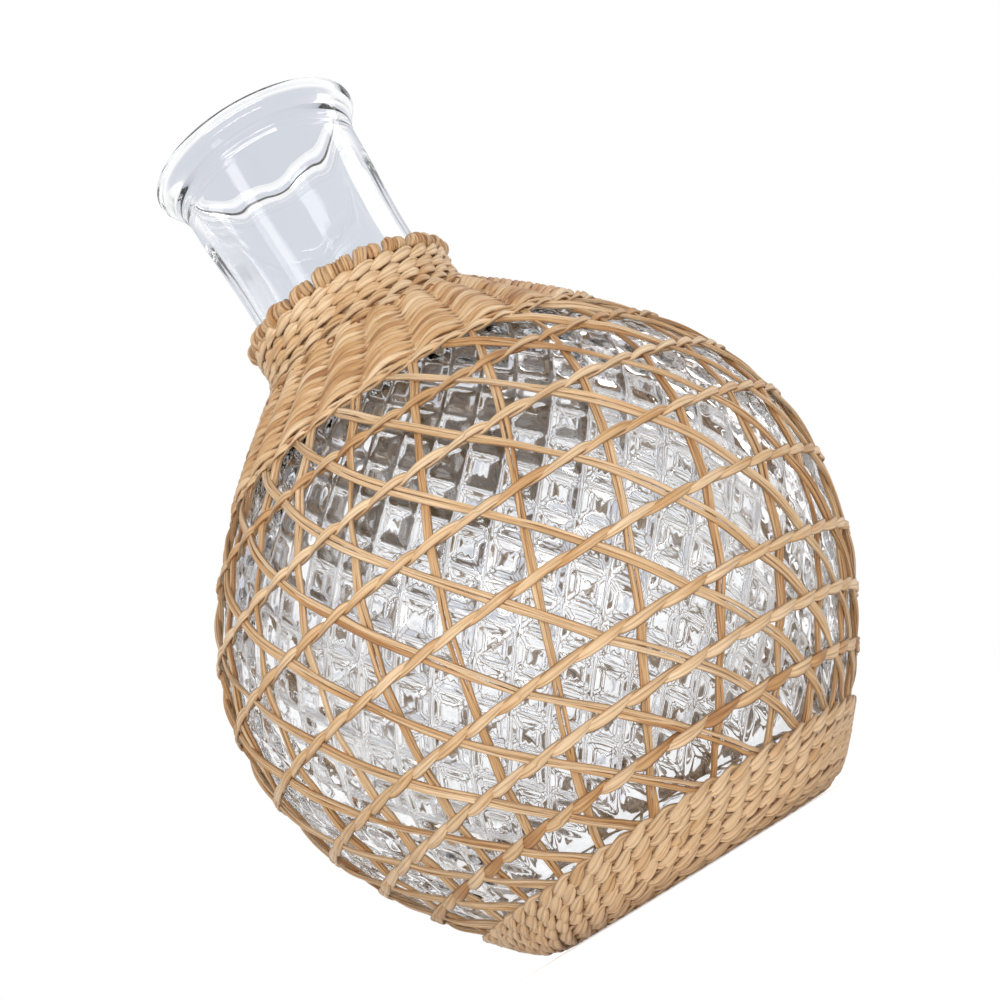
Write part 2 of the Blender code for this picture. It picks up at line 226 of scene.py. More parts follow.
def white_room():
    world = bpy.data.worlds.new("white_room")
    world.use_nodes = True
    bpy.context.scene.world = world
    finish = Finish(world.node_tree)
    background = world.node_tree.nodes["Background"]
    camera, glass = seen_directly(finish)
    direction = finish.node("ShaderNodeTexCoord", output=0)
    patches = finish.ramp(finish.noise(direction, PATCH_SCALE, detail=1), PATCHES)
    pair = {0: direction, 1: CALM_MIDDLE}
    nearness = finish.node("ShaderNodeVectorMath", {"operation": "DOT_PRODUCT"}, pair, output=1)
    seen_by_glass = finish.mix(finish.ramp(nearness, CALM_EDGES), patches, CALM_GREY)
    finish.put(background.inputs["Color"], finish.mix(glass, WHITE, seen_by_glass))
    either = camera.larger(glass)
    finish.put(background.inputs["Strength"], ROOM_LIGHT + either * (1 - ROOM_LIGHT))


def mesh_object(name, points, faces, material):
    mesh = bpy.data.meshes.new(name)
    mesh.from_pydata(points, [], faces)
    mesh.shade_smooth()
    mesh.materials.append(material)
    return new_object(name, mesh)


def white_floor():
    constants = {"Base_Color": FLOOR_PAPER, "Emission_Strength": 1.0}
    material, finish, sockets = new_material("floor_paper", FLOOR_ROUGHNESS, **constants)
    camera, glass = seen_directly(finish)
    glow = camera * FLOOR_GLOW + glass * GLASS_FLOOR_GLOW
    finish.put(sockets["Emission Color"], finish.mix(glow, BLACK, WHITE))
    half = FLOOR_SIZE / 2
    corners = [(-half, -half, 0), (half, -half, 0), (half, half, 0), (-half, half, 0)]
    return mesh_object("floor", corners, [(0, 1, 2, 3)], material)


white_room()
white_floor()
print("room light", ROOM_LIGHT, "floor side in metres", FLOOR_SIZE)

# %% [markdown]
# Pressed glass bends a ray many times before it comes out again. Blender's usual limits save time, but
# a ray that is given up too early leaves a black spot, so they are raised. Straw needs fewer bounces.

# %% Light paths
BOUNCES = {"max_bounces": 32, "transmission_bounces": 32, "glossy_bounces": 12, "diffuse_bounces": 6}
for name, count in BOUNCES.items():
    setattr(bpy.context.scene.cycles, name, count)
print("bounces:", list(BOUNCES.values()))

# %% [markdown]
# Three large soft lamps shape the strands: a key high on the left in front, a fill on the right behind,
# and a low wide one in front for the undersides. A sun could do it with one lamp, but its hard shadows
# don't suit a tent of white cloth.

# %% Lamps
LAMP_TARGET = Vector((0, 0, 0.1))
# Each lamp's place, width, height and power
LAMPS = {
    "key_lamp": (Vector((-0.55, -0.75, 0.95)), 0.3, 1.1, 2.6),
    "fill_lamp": (Vector((0.8, 0.35, 0.6)), 0.3, 1.1, 2.5),
    "front_lamp": (Vector((0.0, -0.9, 0.06)), 1.2, 0.1, 4.8),
}


def soft_lamp(name, place, width, height, power):
    data = bpy.data.lights.new(name, "AREA")
    data.shape = "RECTANGLE"
    data.size = width
    data.size_y = height
    data.energy = power
    lamp = new_object(name, data)
    aim = (LAMP_TARGET - place).to_track_quat("-Z", "Y").to_matrix().to_4x4()
    lamp.matrix_world = Matrix.Translation(place) @ aim


for name, measures in LAMPS.items():
    soft_lamp(name, *measures)
bpy.context.scene.view_settings.view_transform = "Standard"
print("lamps:", [thing.name for thing in bpy.data.lights])

# %% [markdown]
# Split rattan is pale straw with an orange or brown cast, finely streaked along each strand. Its creases,
# edges and underside are darkened with painted shade. One noise in space could colour it, but the streaks
# would not follow the strands. So each strand carries its own coordinates, tone and painted shade, which
# the material reads.

# %% Split rattan
STRAW_LIGHT = paint(243, 212, 172)
STRAW = paint(226, 188, 142)
STRAW_WARM = paint(208, 161, 109)
STRAW_BROWN = paint(165, 116, 72)
# The dark brown of the painted shade in the creases, at the edges and underneath
PAINTED_SHADE_BROWN = paint(112, 70, 38)
STRAW_TONES = [(0.1, STRAW_BROWN), (0.34, STRAW_WARM), (0.58, STRAW), (0.9, STRAW_LIGHT)]
STREAK_STRETCH = (120, 3.6, 41)
BLOTCH_STRETCH = (55, 0.7, 17)
STREAK_EFFECT = 0.45
BLOTCH_EFFECT = 0.75
DARK_LINES = [(0.3, WHITE), (0.46, BLACK)]
LINE_DARKNESS = 0.55
PAINTED_SHADE_STRENGTH = 0.85
FIBRE_RELIEF = 0.12 * MM


def split_rattan():
    material, finish, sockets = new_material("split_rattan_finish", 0.5, Specular_IOR_Level=0.4)
    fibre = finish.node("ShaderNodeAttribute", {"attribute_name": "fibre"}, output=1)
    look = finish.node("ShaderNodeAttribute", {"attribute_name": "look"}, output=1)
    tone = finish.node("ShaderNodeSeparateXYZ", {}, {0: look}, output=0)
    # The second value of look is painted shade for the creases, edges and underside
    painted_shade = finish.node("ShaderNodeSeparateXYZ", {}, {0: look}, output=1)
    streak = finish.noise(finish.stretched(fibre, STREAK_STRETCH), 1, detail=3, roughness=0.6)
    blotch = finish.noise(finish.stretched(fibre, BLOTCH_STRETCH), 1)
    place = tone + (blotch - 0.5) * BLOTCH_EFFECT + (streak - 0.5) * STREAK_EFFECT
    lines = finish.ramp(streak, DARK_LINES)
    colour = finish.mix(lines * LINE_DARKNESS, finish.ramp(place, STRAW_TONES), STRAW_BROWN)
    # Painted shade: creases, strand edges and undersides are mixed towards a dark brown
    colour = finish.mix(painted_shade * PAINTED_SHADE_STRENGTH, colour, PAINTED_SHADE_BROWN)
    finish.put(sockets["Base Color"], colour)
    finish.put(sockets["Roughness"], 0.62 - streak * 0.3)
    relief = {"Strength": 0.6, "Distance": FIBRE_RELIEF, "Height": streak - painted_shade * 0.5}
    finish.put(sockets["Normal"], finish.node("ShaderNodeBump", {}, relief))
    return material


RATTAN = split_rattan()
print("finish:", RATTAN.name)

# %% [markdown]
# The bottle is thick clear glass with a faint cold tint. Its look could be mixed from shine and clear
# film, but light is bent at every face of the relief, so this is real refraction at glass's own index.
# A fine ripple in the normal stands for the waves that a mould leaves on the belly.

# %% Clear glass
GLASS_TINT = (0.985, 0.992, 1, 1)
GLASS_INDEX = 1.5
GLASS_ROUGHNESS = 0.03
RIPPLE_SCALE = 160
RIPPLE_RELIEF = 0.6 * MM
# The heights in metres between which the ripple fades out, because the neck is smooth
RIPPLE_FADE = [(0.14, WHITE), (0.17, BLACK)]


def clear_glass():
    constants = {"Transmission_Weight": 1.0, "IOR": GLASS_INDEX, "Base_Color": GLASS_TINT}
    material, finish, sockets = new_material("clear_glass_finish", GLASS_ROUGHNESS, **constants)
    place = finish.node("ShaderNodeTexCoord", output=3)
    height = finish.node("ShaderNodeSeparateXYZ", {}, {0: place}, output=2)
    pressed = finish.ramp(height, RIPPLE_FADE)
    ripple = finish.noise(place, RIPPLE_SCALE, detail=1) * pressed
    relief = {"Strength": 0.12, "Distance": RIPPLE_RELIEF, "Height": ripple}
    finish.put(sockets["Normal"], finish.node("ShaderNodeBump", {}, relief))
    return material


GLASS = clear_glass()
print("finish:", GLASS.name)

# %% [markdown]
# Everything on the vase is round, so one line describes it: the outside of the glass from the middle
# of its foot, up the belly and along the neck. Curves in space could carry the strands, but three
# numbers are enough: azimuth round the axis, distance along the line, and lift off the glass. Azimuth
# 0 is the front, which faces -Y, and azimuth grows towards +X.

# %% The glass line
MAT_THICKNESS = 2.5 * MM
GLASS_FOOT = 2.8 * MM
BELLY_RADIUS = 84.9 * MM
BELLY_HEIGHT = 84 * MM
UPPER_REACH = 102 * MM
BASE_RADIUS = 42.6 * MM
HEEL_RUN = 4.6 * MM
HEEL_RISE = 6.5 * MM
NECK_RADIUS = 25.6 * MM
NECK_FILLET = 7.5 * MM
NECK_TAPER = 1.4 * MM
NECK_LENGTH = 70.75 * MM
FLARE_DEPTH = 14 * MM
LIP_REACH = 4.5 * MM
LIP_ROLL = 3.1 * MM

LOWER_REACH = (BELLY_HEIGHT - GLASS_FOOT) / math.sqrt(1 - BASE_RADIUS / BELLY_RADIUS)
FOOT_RADIUS = BASE_RADIUS - HEEL_RUN
NECK_FOOT = BELLY_HEIGHT + UPPER_REACH * math.sqrt(1 - NECK_RADIUS / BELLY_RADIUS)
NECK_TOP_RADIUS = NECK_RADIUS + NECK_TAPER
LIP_RADIUS = NECK_TOP_RADIUS + LIP_REACH
MOUTH_HEIGHT = NECK_FOOT + NECK_LENGTH
FLARE_HEIGHT = MOUTH_HEIGHT - FLARE_DEPTH

BELLY_PLACES = 400
TURN_STEPS = 24
LINE_STEP = 0.25 * MM
NORMAL_STEP = 0.5 * MM


def belly_radius(height):
    reach = np.where(height > BELLY_HEIGHT, UPPER_REACH, LOWER_REACH)
    return BELLY_RADIUS * (1 - ((height - BELLY_HEIGHT) / reach) ** 2)


def bend(start, corner, end, steps):
    """Points of a curve from start to end that leaves and arrives towards corner."""
    share = np.linspace(0, 1, steps + 1)[:, None]
    start, corner, end = (np.array(point) for point in (start, corner, end))
    return (1 - share) ** 2 * start + 2 * share * (1 - share) * corner + share**2 * end


def glass_outline():
    """Radius and height from the middle of the foot to where the mouth begins to flare."""
    heel_top = GLASS_FOOT + HEEL_RISE
    fillet_foot = NECK_FOOT - NECK_FILLET
    heights = np.linspace(heel_top, fillet_foot, BELLY_PLACES)
    heel_end = (belly_radius(heel_top), heel_top)
    fillet_start = (belly_radius(fillet_foot), fillet_foot)
    fillet_end = (NECK_RADIUS, NECK_FOOT + NECK_FILLET)
    return np.vstack([
        [(0, GLASS_FOOT)],
        bend((FOOT_RADIUS, GLASS_FOOT), (BASE_RADIUS, GLASS_FOOT), heel_end, TURN_STEPS),
        np.column_stack([belly_radius(heights), heights])[1:-1],
        bend(fillet_start, (NECK_RADIUS, NECK_FOOT), fillet_end, TURN_STEPS),
        [(NECK_RADIUS, FLARE_HEIGHT)],
    ])


class GlassLine:
    """The outside of the glass in section, by distance from the middle of the foot."""

    def __init__(self, points):
        steps = np.linalg.norm(np.diff(points, axis=0), axis=1)
        corners = np.concatenate([[0], np.cumsum(steps)])
        self.along = np.arange(0, corners[-1], LINE_STEP)
        self.radius = np.interp(self.along, corners, points[:, 0])
        self.height = np.interp(self.along, corners, points[:, 1])

    def at_height(self, height):
        """Distance along the line where the glass has that height."""
        return np.interp(height, self.height, self.along)

    def place(self, azimuth, along, lift):
        """Points and outward normals."""
        azimuth, along, lift = np.broadcast_arrays(azimuth, along, lift)
        after = along + NORMAL_STEP
        before = along - NORMAL_STEP
        rise = np.interp(after, self.along, self.height) - np.interp(before, self.along, self.height)
        run = np.interp(after, self.along, self.radius) - np.interp(before, self.along, self.radius)
        length = np.hypot(rise, run)
        out, down = rise / length, run / length
        radius = np.interp(along, self.along, self.radius) + lift * out
        height = np.interp(along, self.along, self.height) - lift * down
        sine, cosine = np.sin(azimuth), np.cos(azimuth)
        points = np.column_stack([radius * sine, -radius * cosine, height])
        normals = np.column_stack([out * sine, -out * cosine, -down])
        return points, normals


LINE = GlassLine(glass_outline())
print("glass line in mm:", round(LINE.along[-1] / MM, 1))

# %% [markdown]
# The bottle is pressed in a mould. Squares set on their corners cover the belly, each with a flat top
# and sloping sides, and fade in over the foot band. They could be a bump texture, but glass bends light
# by its true shape. The grid has twelve steps to a square, so every groove runs through its points.

# %% The pressed belly
DIAMOND_COUNT = 42
DIAMOND_HEIGHT = 15 * MM
DIAMOND_DEPTH = 1.25 * MM
DIAMOND_STEPS = 12
DIAMOND_START = 4.2 * MM
BEVEL_STEPS = 3
# The relief grows over the lowest rows of the grid, from this share of its depth
FADING_ROWS = 9
FADED_SHARE = 0.15
BAND_TOP = 16.8 * MM
PLAIN_SHOULDER = 23.25 * MM
BELLY_SAMPLES = DIAMOND_COUNT * DIAMOND_STEPS
RELIEF_FOOT = LINE.at_height(BAND_TOP + DIAMOND_START)
RELIEF_TOP = LINE.at_height(NECK_FOOT - PLAIN_SHOULDER)


def azimuths(count, turn=0.0):
    """Even places round the vase. turn shifts them by a share of their step."""
    return ROUND * (np.arange(count) + turn) / count


def groove_depth(column, row):
    """Depth of the relief at a column and row of the grid, both counted in steps."""
    rising = np.mod(column + row, DIAMOND_STEPS)
    falling = np.mod(column - row, DIAMOND_STEPS)
    edge = np.minimum.reduce([rising, DIAMOND_STEPS - rising, falling, DIAMOND_STEPS - falling])
    return DIAMOND_DEPTH * (1 - np.clip(edge / BEVEL_STEPS, 0, 1))


def belly_rings():
    """Rings over the pressed belly, one grid step apart along the wall."""
    columns = np.arange(BELLY_SAMPLES)
    rings = []
    for row, along in enumerate(np.arange(RELIEF_FOOT, RELIEF_TOP, DIAMOND_HEIGHT / DIAMOND_STEPS)):
        depth = groove_depth(columns, row) * np.clip(row / FADING_ROWS, FADED_SHARE, 1)
        rings.append(LINE.place(azimuths(BELLY_SAMPLES), along, -depth)[0])
    return rings


print("belly grid:", BELLY_SAMPLES, "by", len(belly_rings()))

# %% [markdown]
# The neck has ten flats that end in soft arches, swells a little towards the mouth, and flares into a
# rolled lip. It could be turned as one smooth curve, but the flats give bare glass its upright lights,
# so each ring of the neck is cut by them.

# %% The neck and the lip
NECK_SAMPLES = 240
NECK_PANELS = 10
PANEL_DEPTH = 0.5 * MM
PANEL_TOP_DEPTH = 17 * MM
PANEL_ARCH = 0.6 * MM
PANEL_TURN = math.radians(2)
PANEL_FADE = 16 * MM
FLAT_SOFTNESS = 0.25 * MM
SWELL_DEPTH = 45 * MM
SWELL_LENGTH = 31 * MM
RING_STEP = 1.25 * MM
FLARE_STEPS = 28
RING_WAVE = 0.06 * MM
RING_WAVE_LENGTH = 0.36 * MM
RING_WAVE_DRIFT = 3 * MM
# The degrees at which the lip's roll begins and ends, and its step
LIP_TURNS = (-40, 90, 10)
PLAIN_FOOT_RINGS = 14
PLAIN_SHOULDER_RINGS = 22
SEAM = 1 * MM


def smooth(share):
    return share * share * (3 - 2 * share)


def ring_points(radius, height):
    azimuth = azimuths(NECK_SAMPLES)
    level = np.full(NECK_SAMPLES, height)
    return np.column_stack([radius * np.sin(azimuth), -radius * np.cos(azimuth), level])


def plain_rings(low, high, count):
    return [LINE.place(azimuths(NECK_SAMPLES), along, 0)[0] for along in np.linspace(low, high, count)]


def flat_radius(radius, height, azimuth):
    """The neck's radius with its flats cut, each ending in a soft arch."""
    pitch = ROUND / NECK_PANELS
    off_middle = (azimuth - PANEL_TURN + pitch / 2) % pitch - pitch / 2
    flat = (radius - PANEL_DEPTH) / np.cos(off_middle)
    arch = MOUTH_HEIGHT - PANEL_TOP_DEPTH - PANEL_ARCH * (2 * off_middle / pitch) ** 2
    inside = smooth(np.clip((arch - height) / PANEL_FADE, 0, 1))
    cut = radius - flat
    return radius - (cut + np.sqrt(cut**2 + FLAT_SOFTNESS**2)) / 2 * inside


def neck_radius(height):
    share = np.clip((height - MOUTH_HEIGHT + SWELL_DEPTH) / SWELL_LENGTH, 0, 1)
    return NECK_RADIUS + NECK_TAPER * smooth(share)


def lip_point(degrees):
    """Radius and height of a place on the roll of the lip, by its turn up from level."""
    turn = math.radians(degrees)
    radius = LIP_RADIUS - LIP_ROLL + LIP_ROLL * math.cos(turn)
    return radius, MOUTH_HEIGHT - LIP_ROLL + LIP_ROLL * math.sin(turn)


def neck_rings():
    azimuth = azimuths(NECK_SAMPLES)
    rings = []
    for height in np.arange(NECK_FOOT + NECK_FILLET, FLARE_HEIGHT, RING_STEP):
        rings.append(ring_points(flat_radius(neck_radius(height), height, azimuth), height))
    first, last, step = LIP_TURNS
    end = lip_point(first)
    corner = (NECK_TOP_RADIUS, end[1] + (end[0] - NECK_TOP_RADIUS) / math.tan(math.radians(first)))
    for radius, height in bend((NECK_TOP_RADIUS, FLARE_HEIGHT), corner, end, FLARE_STEPS)[:-1]:
        sway = np.sin(azimuth + height / RING_WAVE_DRIFT)
        wave = RING_WAVE * np.sin(height / RING_WAVE_LENGTH + sway)
        rings.append(ring_points(radius + wave, height))
    return rings + [ring_points(*lip_point(degrees)) for degrees in range(first, last + 1, step)]


def outside_rings():
    """Rings from the foot's edge up to the top of the lip."""
    neck_start = LINE.at_height(NECK_FOOT + NECK_FILLET)
    below = plain_rings(FOOT_RADIUS, RELIEF_FOOT - 2 * SEAM, PLAIN_FOOT_RINGS)
    above = plain_rings(RELIEF_TOP + SEAM, neck_start - SEAM, PLAIN_SHOULDER_RINGS)
    return below + belly_rings() + above + neck_rings()


print("rings outside:", len(outside_rings()))

# %% [markdown]
# Inside, the glass is smooth: a bore down the neck, a soft turn into the belly, and a thick floor with
# a low dome. An even wall would be simpler, but a pressed one has slow waves, which make its lights
# swim. The inside goes on from the lip's top ring as one skin, so the bottle is closed.

# %% The bottle's inside
NECK_WALL = 2.8 * MM
BORE = NECK_RADIUS - NECK_WALL
BELLY_WALL = 4.4 * MM
INSIDE_FLOOR = GLASS_FOOT + 6 * MM
# Radius of each ring of the floor's dome, and how far it stands above the floor's edge
FLOOR_DOME = [(20 * MM, 1.2 * MM), (8 * MM, 2 * MM)]
DOME_RISE = 2.2 * MM
BORE_RINGS = 24
BELLY_RINGS = 60
INSIDE_WAVE = 0.25 * MM


def belly_inside(along):
    """Radius and height inside the belly's wall."""
    point = LINE.place(0, along, -BELLY_WALL)[0][0]
    return -point[1], point[2]


def inside_outline():
    """Radius and height from the lip down to the floor's dome."""
    mouth = NECK_TOP_RADIUS - NECK_WALL
    bore_foot = NECK_FOOT + NECK_FILLET
    lip_inside = (LIP_RADIUS - LIP_ROLL * 2, MOUTH_HEIGHT - LIP_ROLL)
    outline = [(LIP_RADIUS - LIP_ROLL * 1.7, MOUTH_HEIGHT - 0.35 * LIP_ROLL), lip_inside]
    outline += list(bend(lip_inside, (mouth, FLARE_HEIGHT + 4 * MM), (mouth, FLARE_HEIGHT), 6))[1:]
    for height in np.linspace(FLARE_HEIGHT, bore_foot, BORE_RINGS)[1:-1]:
        outline.append((neck_radius(height) - NECK_WALL, height))
    belly_top = LINE.at_height(NECK_FOOT - 1.5 * NECK_FILLET)
    belly_foot = LINE.at_height(INSIDE_FLOOR + HEEL_RISE)
    top = belly_inside(belly_top)
    outline += list(bend((BORE, bore_foot), (BORE, top[1] + NECK_FILLET), top, 8))
    outline += [belly_inside(along) for along in np.linspace(belly_top, belly_foot, BELLY_RINGS)[1:]]
    wall = outline[-1]
    floor_edge = (wall[0] - 12 * MM, INSIDE_FLOOR)
    outline += list(bend(wall, (wall[0] - 3 * MM, INSIDE_FLOOR), floor_edge, 6))[1:]
    return outline + [(radius, INSIDE_FLOOR + rise) for radius, rise in FLOOR_DOME]


def inside_rings():
    """The inside's rings. Slow waves make the wall uneven, and fade out in the bore."""
    azimuth = azimuths(NECK_SAMPLES)
    rings = []
    for radius, height in inside_outline():
        wave = np.sin(5 * azimuth + height / (9 * MM)) + np.sin(3 * azimuth - height / (14 * MM))
        share = np.clip((radius - BORE) / BORE, 0.04, 1)
        rings.append(ring_points(radius + INSIDE_WAVE * share * wave, height))
    return rings


print("rings inside:", len(inside_rings()))

# %% [markdown]
# All the rings become one closed skin. The belly's rings have more points, because every square needs
# its own corners. Bridge Edge Loops could join them, but it may cut across a groove, so each square of
# the belly's grid is split along the way its groove runs.

# %% The bottle's mesh


def bridge(first, second, first_start, second_start):
    """Triangles between two rings of points, which may differ in number."""
    faces = []
    i = j = 0
    m, n = len(first), len(second)
    while i < m or j < n:
        a = first_start + i % m
        b = second_start + j % n
        if (i + 1) * n <= (j + 1) * m:
            i += 1
            faces.append((a, first_start + i % m, b))
        else:
            j += 1
            faces.append((a, second_start + j % n, b))
    return faces


def grid_faces(first, first_start, second_start, first_row):
    """Triangles between two belly rings, each square cut along the way its groove runs."""
    count = len(first)
    here = np.arange(count)
    after = (here + 1) % count
    low, high = groove_depth(here, first_row), groove_depth(here, first_row + 1)
    rising = np.abs(low - high[after]) <= np.abs(low[after] - high)
    a, b = first_start + here, first_start + after
    c, d = second_start + after, second_start + here
    one = np.where(rising[:, None], np.column_stack([a, b, c]), np.column_stack([a, b, d]))
    two = np.where(rising[:, None], np.column_stack([a, c, d]), np.column_stack([b, c, d]))
    return one.tolist() + two.tolist()


def glass_bottle():
    rings = outside_rings() + inside_rings()
    starts = np.concatenate([[0], np.cumsum([len(ring) for ring in rings])])
    faces = []
    belly_row = 0
    for number, (here, after) in enumerate(zip(rings, rings[1:])):
        if len(here) == len(after) == BELLY_SAMPLES:
            faces += grid_faces(here, starts[number], starts[number + 1], belly_row)
            belly_row += 1
        else:
            faces += bridge(here, after, starts[number], starts[number + 1])
    points = np.vstack(rings + [[(0, 0, GLASS_FOOT)], [(0, 0, INSIDE_FLOOR + DOME_RISE)]])
    foot_middle, floor_middle = starts[-1], starts[-1] + 1
    for step in range(NECK_SAMPLES):
        after = (step + 1) % NECK_SAMPLES
        faces.append((after, step, foot_middle))
        faces.append((starts[-2] + step, starts[-2] + after, floor_middle))
    faces = [tuple(int(corner) for corner in face) for face in faces]
    return mesh_object("pressed_bottle", points.tolist(), faces, GLASS)


bottle = glass_bottle()
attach(bottle, "root")
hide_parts("glass_bottle")
print("bottle faces:", len(bottle.data.polygons))

# %% [markdown]
# A strand of split rattan is flat on the side that was split, crowned outside, and creased along its
# length where it dried. A curve with a bevel object can't tilt, crease and swell from point to point,
# so the section is swept here with arrays. All the strands of one piece go into one mesh, with their
# coordinates along and across, their tone, and the painted shade of their creases, edges and underside.

# %% Strands
# Places across the strand and in its thickness, from -1 to 1, and how much painted shade each one gets:
# most at the edges where strands meet, some in the crease, a little underneath
WIDE_SECTION = [
    (-1, 0.0, 1.0), (-0.78, 0.66, 0.4), (-0.3, 1.0, 0.0), (0, 0.6, 0.6), (0.3, 1.0, 0.0),
    (0.78, 0.66, 0.4), (1, 0.0, 1.0), (0.75, -0.8, 0.2), (0, -1.0, 0.1), (-0.75, -0.8, 0.2),
]
FINE_SECTION = [
    (-1, 0.0, 1.0), (-0.7, 0.75, 0.2), (0, 1.0, 0.0), (0.7, 0.75, 0.2), (1, 0.0, 1.0), (0, -1.0, 0.15),
]
# The crown wanders from side to side along the strand
CROWN_DRIFT = 0.45
CROWN_WAVE = 13 * MM
TONE_LIMITS = (0.2, 0.95)
# The side that was split shows the pale pith
PITH_TONE = 0.3
PITH_SIDE = -0.5


def unit(vectors):
    return vectors / np.linalg.norm(vectors, axis=1)[:, None]


def strand_faces(count, ring, closed):
    """Quads along a strand of count sections of ring points, and over its ends if it has any."""
    here = np.arange(count if closed else count - 1)
    after = (here + 1) % count
    spots = np.arange(ring)
    beside = (spots + 1) % ring
    corners = [here[:, None] * ring + spots, after[:, None] * ring + spots]
    corners += [after[:, None] * ring + beside, here[:, None] * ring + beside]
    faces = [np.stack(corners, axis=-1).reshape(-1, 4)]
    if not closed:
        cap = np.array([(ring - 1, spot, spot + 1, spot + 2) for spot in range(0, ring - 2, 2)])
        faces += [cap, cap[:, ::-1] + (count - 1) * ring]
    return np.vstack(faces)


class Weave:
    """Collects strands and makes one mesh of them."""

    def __init__(self, seed, section=WIDE_SECTION):
        self.chance = np.random.default_rng(seed)
        self.section = np.array(section)
        self.points, self.faces, self.fibre, self.look = [], [], [], []
        self.total = self.strands = 0

    def tone(self, middle=0.6, spread=0.16):
        return float(np.clip(self.chance.normal(middle, spread), *TONE_LIMITS))

    def strand(self, path, normals, width, thickness, tone=None, tilt=0, across=0, closed=False):
        """One strand along the path. tilt turns it about its length, across shifts it sideways."""
        count = len(path)
        measures = [np.broadcast_to(value, count)[:, None] for value in (tilt, across, width, thickness)]
        turn, across, width, thickness = measures
        ahead = np.roll(path, -1, 0) - np.roll(path, 1, 0) if closed else np.gradient(path, axis=0)
        side = unit(np.cross(unit(ahead), normals))
        out = unit(np.cross(side, ahead))
        path = path + side * across
        side, out = side * np.cos(turn) + out * np.sin(turn), out * np.cos(turn) - side * np.sin(turn)
        steps = np.linalg.norm(np.diff(path, axis=0), axis=1)
        along = np.concatenate([[0], np.cumsum(steps)])[:, None]
        places, rises, painted_shade_depth = self.section.T
        # The painted shade of the creases and edges is stronger on some strands than on others
        painted_shade_depth = painted_shade_depth * self.chance.uniform(0.5, 1)
        middle = CROWN_DRIFT * np.sin(along / CROWN_WAVE + self.chance.uniform(0, ROUND))
        shifted = places + middle * (1 - np.abs(places))
        points = path[:, None] + side[:, None] * (shifted * width / 2)[:, :, None]
        points = points + out[:, None] * (rises * thickness / 2)[:, :, None]
        tone = self.tone() if tone is None else tone
        shape = (count, len(places))
        fibre = [np.broadcast_to(along, shape), shifted, np.full(shape, self.chance.uniform(0, 50))]
        tones = np.broadcast_to(tone, count)[:, None] + np.where(rises < PITH_SIDE, PITH_TONE, 0)
        look = [tones, np.broadcast_to(painted_shade_depth, shape), np.zeros(shape)]
        self.points.append(points.reshape(-1, 3))
        self.faces.append(strand_faces(*shape, closed) + self.total)
        self.fibre.append(np.stack(fibre, axis=-1).reshape(-1, 3))
        self.look.append(np.stack(look, axis=-1).reshape(-1, 3))
        self.total += count * len(places)
        self.strands += 1

    def piece(self, name, nodes):
        points, faces = np.vstack(self.points).tolist(), np.vstack(self.faces).tolist()
        made = mesh_object(name, points, faces, RATTAN)
        for attribute, values in (("fibre", self.fibre), ("look", self.look)):
            data = made.data.attributes.new(attribute, "FLOAT_VECTOR", "POINT")
            data.data.foreach_set("vector", np.vstack(values).ravel())
        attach(made, "root")
        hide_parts(*nodes)
        print(name, "strands", self.strands, "faces", len(faces))
        return made


print("points in a section:", len(WIDE_SECTION), "or", len(FINE_SECTION))

# %% [markdown]
# The net is twined. Two sets of slanting stakes cross on the belly, and at each of seven levels a pair
# of strands holds them. A place in it is an azimuth and a number of rows down from the shoulder weave.
# An even grid would do, but the real rows lean a little, and the stakes are drawn out of even spacing.

# %% The net's grid
STAKES = 24
A_STEP = math.radians(10.5)
B_STEP = math.radians(4.5)
A_TO_B = math.radians(6.2)
SHOULDER_FOOT = NECK_FOOT - 28.25 * MM
ROWS_ABOVE = (0.763, 0.456, 0.149)
ROWS_BELOW = (0.836, 0.548, 0.342, 0.155)
ROW_LEAN = math.radians(2.3)
LEAN_TOWARDS = math.radians(45)
UNDER_SHOULDER = 9 * MM
UNDER_BAND = 7 * MM
PULL = math.radians(1.9)
PULL_START = math.radians(216)
NET_TURN = math.radians(0.3)
row_heights = [BELLY_HEIGHT + (SHOULDER_FOOT - BELLY_HEIGHT) * share for share in ROWS_ABOVE]
row_heights += [BAND_TOP + (BELLY_HEIGHT - BAND_TOP) * share for share in ROWS_BELOW]
ROWS = len(row_heights)
NET_LEVELS = [SHOULDER_FOOT + UNDER_SHOULDER, SHOULDER_FOOT] + row_heights
NET_LEVELS += [BAND_TOP, BAND_TOP - UNDER_BAND]
NET_DOWNS = list(range(-1, ROWS + 3))


def pull(azimuth):
    """How far the weaver's hand has drawn the stakes out of even spacing."""
    return PULL * np.cos(4 * azimuth + PULL_START) + NET_TURN


def net_along(azimuth, down):
    """Distance along the glass line of a place in the net."""
    height = np.interp(down, NET_DOWNS, NET_LEVELS)
    lean = math.tan(ROW_LEAN) * np.clip(down, 0, 2) / 2
    return LINE.at_height(height + lean * belly_radius(height) * np.cos(azimuth - LEAN_TOWARDS))


def a_azimuth(stake, down):
    even = ROUND * stake / STAKES + A_STEP * down
    return even + pull(even)


def b_azimuth(stake, down):
    even = ROUND * stake / STAKES + A_TO_B - B_STEP * down
    return even + pull(even)


print("row heights in mm:", [round(height / MM, 1) for height in row_heights])

# %% [markdown]
# Each stake is two strands side by side that turn lazily about each other, with a thin fibre over them.
# The B set lies next to the glass, and the A set slants the other way and rides over it between the
# rows. A pair could be one broad strip, but the dark line between its strands shows from afar. Both
# sets are lifted at the rows, where one row strand passes beneath them.

